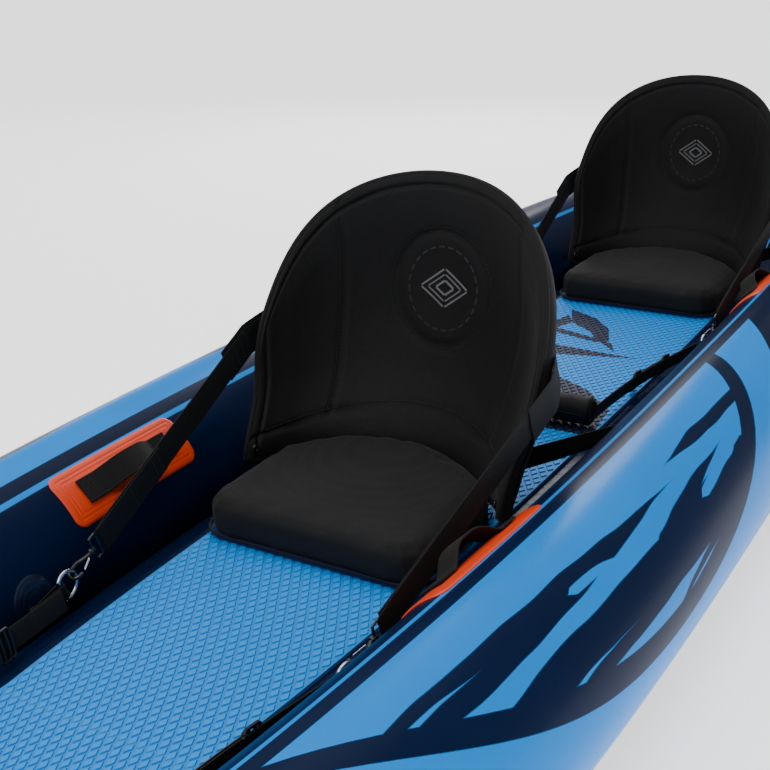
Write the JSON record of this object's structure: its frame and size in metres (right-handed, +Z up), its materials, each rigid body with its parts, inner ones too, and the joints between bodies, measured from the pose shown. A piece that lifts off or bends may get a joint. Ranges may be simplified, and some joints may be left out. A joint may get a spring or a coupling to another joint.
{
  "type": "inflatable kayak",
  "caption": "Inflatable kayak with two air side tubes, drop-stitch floor, strapped wrap-round seats, webbing grab handles, foot rests and hinged valves.",
  "frame": {"origin": "on the ground under the middle of the hull", "axes": "+Z up, bow towards -Y, port side +X"},
  "size_m": [0.9, 4.4, 0.5265],
  "materials": {
    "tube_pvc": "gloss PVC-coated fabric, light blue and navy",
    "floor_pvc": "gloss PVC-coated drop-stitch fabric, navy",
    "pad_foam": "embossed EVA foam, light blue with navy shapes",
    "deck_pvc": "gloss PVC-coated fabric, navy",
    "patch_pvc": "satin moulded PVC patch, orange",
    "webbing": "black woven polyester webbing",
    "cushion_fabric": "charcoal polyester over foam",
    "backrest_fabric": "black polyester over moulded foam",
    "roll_foam": "black fabric sleeve over foam",
    "black_plastic": "matte moulded PVC",
    "valve_plastic": "matte moulded plastic",
    "pin_plastic": "satin moulded plastic",
    "hook_metal": "black moulded acetal",
    "steel": "polished stainless wire"
  },
  "bodies": {
    "hull": {"air_floor": "floor_pvc", "bow_deck": "deck_pvc", "bow_stem": "black_plastic", "deck_pad": "pad_foam", "fin_box": "black_plastic", "floor_valve": "valve_plastic", "front_port_foot_strap": "webbing", "front_port_front_strap": "webbing", "front_port_handle": "webbing", "front_port_handle_patch": "patch_pvc", "front_port_ring_tab": "webbing", "front_rear_strap": "webbing", "front_seat_cushion": "cushion_fabric", "front_starboard_foot_strap": "webbing", "front_starboard_front_strap": "webbing", "front_starboard_handle": "webbing", "front_starboard_handle_patch": "patch_pvc", "front_starboard_ring_tab": "webbing", "port_side_tube": "tube_pvc", "port_valve": "valve_plastic", "rear_port_foot_strap": "webbing", "rear_port_front_strap": "webbing", "rear_port_handle": "webbing", "rear_port_handle_patch": "patch_pvc", "rear_port_ring_tab": "webbing", "rear_rear_strap": "webbing", "rear_seat_cushion": "cushion_fabric", "rear_starboard_foot_strap": "webbing", "rear_starboard_front_strap": "webbing", "rear_starboard_handle": "webbing", "rear_starboard_handle_patch": "patch_pvc", "rear_starboard_ring_tab": "webbing", "starboard_side_tube": "tube_pvc", "starboard_valve": "valve_plastic", "stern_deck": "deck_pvc", "stern_stem": "black_plastic"},
    "front_back": {"front_backrest": "backrest_fabric"},
    "front_foot_roll": {"front_foot_roll": "roll_foam"},
    "front_port_ring": {"front_port_ring": "steel"},
    "front_port_hook": {"front_port_hook": "hook_metal"},
    "front_port_gate": {"front_port_hook_gate": "steel"},
    "front_starboard_ring": {"front_starboard_ring": "steel"},
    "front_starboard_hook": {"front_starboard_hook": "hook_metal"},
    "front_starboard_gate": {"front_starboard_hook_gate": "steel"},
    "rear_back": {"rear_backrest": "backrest_fabric"},
    "rear_foot_roll": {"rear_foot_roll": "roll_foam"},
    "rear_port_ring": {"rear_port_ring": "steel"},
    "rear_port_hook": {"rear_port_hook": "hook_metal"},
    "rear_port_gate": {"rear_port_hook_gate": "steel"},
    "rear_starboard_ring": {"rear_starboard_ring": "steel"},
    "rear_starboard_hook": {"rear_starboard_hook": "hook_metal"},
    "rear_starboard_gate": {"rear_starboard_hook_gate": "steel"},
    "port_cap": {"port_valve_cap": "valve_plastic"},
    "port_pin": {"port_valve_pin": "pin_plastic"},
    "starboard_cap": {"starboard_valve_cap": "valve_plastic"},
    "starboard_pin": {"starboard_valve_pin": "pin_plastic"},
    "floor_cap": {"floor_valve_cap": "valve_plastic"},
    "floor_pin": {"floor_valve_pin": "pin_plastic"},
    "bow_handle": {"bow_handle": "webbing"},
    "stern_handle": {"stern_handle": "webbing"}
  },
  "joints": [
    {"name": "front_backrest_recline", "type": "hinge", "parent": "hull", "child": "front_back", "pos_m": [0, -0.315, 0.1465], "axis": [-1, 0, 0], "range_deg": [0, 30], "deforming": ["front_port_front_strap", "front_starboard_front_strap", "front_rear_strap"]},
    {"name": "front_foot_rest_slide", "type": "slide", "parent": "hull", "child": "front_foot_roll", "axis": [0, 1, 0], "range_m": [0, 0.1], "deforming": ["front_port_foot_strap", "front_starboard_foot_strap"]},
    {"name": "front_port_ring_swing", "type": "hinge", "parent": "hull", "child": "front_port_ring", "pos_m": [0.18735, -0.84364, 0.13548], "axis": [0, -0.3674, 0.9301], "range_deg": [-5, 5]},
    {"name": "front_port_hook_swivel", "type": "hinge", "parent": "hull", "child": "front_port_hook", "pos_m": [0.19335, -0.77995, 0.16064], "axis": [0.0873, 0.9265, 0.366], "range_deg": [-10, 10]},
    {"name": "front_port_gate_open", "type": "hinge", "parent": "front_port_hook", "child": "front_port_gate", "pos_m": [0.18855, -0.79683, 0.15397], "axis": [0, -0.3674, 0.9301], "range_deg": [0, 16], "stiffness_Nm_per_rad": 0.02, "springref_deg": -17.19},
    {"name": "front_starboard_ring_swing", "type": "hinge", "parent": "hull", "child": "front_starboard_ring", "pos_m": [-0.18735, -0.84364, 0.13548], "axis": [0, -0.3674, 0.9301], "range_deg": [-5, 5]},
    {"name": "front_starboard_hook_swivel", "type": "hinge", "parent": "hull", "child": "front_starboard_hook", "pos_m": [-0.19335, -0.77995, 0.16064], "axis": [-0.0873, 0.9265, 0.366], "range_deg": [-10, 10]},
    {"name": "front_starboard_gate_open", "type": "hinge", "parent": "front_starboard_hook", "child": "front_starboard_gate", "pos_m": [-0.18855, -0.79683, 0.15397], "axis": [0, 0.3674, -0.9301], "range_deg": [0, 16], "stiffness_Nm_per_rad": 0.02, "springref_deg": -17.19},
    {"name": "rear_backrest_recline", "type": "hinge", "parent": "hull", "child": "rear_back", "pos_m": [0, 0.836, 0.1465], "axis": [-1, 0, 0], "range_deg": [0, 30], "deforming": ["rear_port_front_strap", "rear_starboard_front_strap", "rear_rear_strap"]},
    {"name": "rear_foot_rest_slide", "type": "slide", "parent": "hull", "child": "rear_foot_roll", "axis": [0, 1, 0], "range_m": [0, 0.1], "deforming": ["rear_port_foot_strap", "rear_starboard_foot_strap"]},
    {"name": "rear_port_ring_swing", "type": "hinge", "parent": "hull", "child": "rear_port_ring", "pos_m": [0.20374, 0.30734, 0.13547], "axis": [0, -0.3674, 0.9301], "range_deg": [-5, 5]},
    {"name": "rear_port_hook_swivel", "type": "hinge", "parent": "hull", "child": "rear_port_hook", "pos_m": [0.20728, 0.37119, 0.1607], "axis": [0.0515, 0.9288, 0.3669], "range_deg": [-10, 10]},
    {"name": "rear_port_gate_open", "type": "hinge", "parent": "rear_port_hook", "child": "rear_port_gate", "pos_m": [0.20313, 0.35416, 0.15397], "axis": [0, -0.3674, 0.9301], "range_deg": [0, 16], "stiffness_Nm_per_rad": 0.02, "springref_deg": -17.19},
    {"name": "rear_starboard_ring_swing", "type": "hinge", "parent": "hull", "child": "rear_starboard_ring", "pos_m": [-0.20374, 0.30734, 0.13547], "axis": [0, -0.3674, 0.9301], "range_deg": [-5, 5]},
    {"name": "rear_starboard_hook_swivel", "type": "hinge", "parent": "hull", "child": "rear_starboard_hook", "pos_m": [-0.20728, 0.37119, 0.1607], "axis": [-0.0515, 0.9288, 0.3669], "range_deg": [-10, 10]},
    {"name": "rear_starboard_gate_open", "type": "hinge", "parent": "rear_starboard_hook", "child": "rear_starboard_gate", "pos_m": [-0.20313, 0.35416, 0.15397], "axis": [0, 0.3674, -0.9301], "range_deg": [0, 16], "stiffness_Nm_per_rad": 0.02, "springref_deg": -17.19},
    {"name": "port_cap_flip", "type": "hinge", "parent": "hull", "child": "port_cap", "pos_m": [0.24089, 1.18127, 0.23866], "axis": [-0.1205, 0.9927, 0.0018], "range_deg": [0, 150]},
    {"name": "port_pin_push", "type": "slide", "parent": "hull", "child": "port_pin", "axis": [-0.4687, -0.0584, 0.8814], "range_m": [-0.003, 0], "stiffness_N_per_m": 400, "springref_m": 0.002},
    {"name": "starboard_cap_flip", "type": "hinge", "parent": "hull", "child": "starboard_cap", "pos_m": [-0.20939, 1.17747, 0.22166], "axis": [0.1205, 0.9927, 0.0018], "range_deg": [0, 150]},
    {"name": "starboard_pin_push", "type": "slide", "parent": "hull", "child": "starboard_pin", "axis": [0.4687, -0.0584, 0.8814], "range_m": [-0.003, 0], "stiffness_N_per_m": 400, "springref_m": 0.002},
    {"name": "floor_cap_flip", "type": "hinge", "parent": "hull", "child": "floor_cap", "pos_m": [0.018, 1.38419, 0.13389], "axis": [0, 0.9972, 0.0748], "range_deg": [0, 150]},
    {"name": "floor_pin_push", "type": "slide", "parent": "hull", "child": "floor_pin", "axis": [0, -0.0748, 0.9972], "range_m": [-0.003, 0], "stiffness_N_per_m": 400, "springref_m": 0.002},
    {"name": "bow_handle_swing", "type": "hinge", "parent": "hull", "child": "bow_handle", "pos_m": [0, -1.95, 0.28707], "axis": [1, 0, 0], "range_deg": [0, 150]},
    {"name": "stern_handle_swing", "type": "hinge", "parent": "hull", "child": "stern_handle", "pos_m": [0, 1.95, 0.28707], "axis": [-1, 0, 0], "range_deg": [0, 150]}
  ]
}
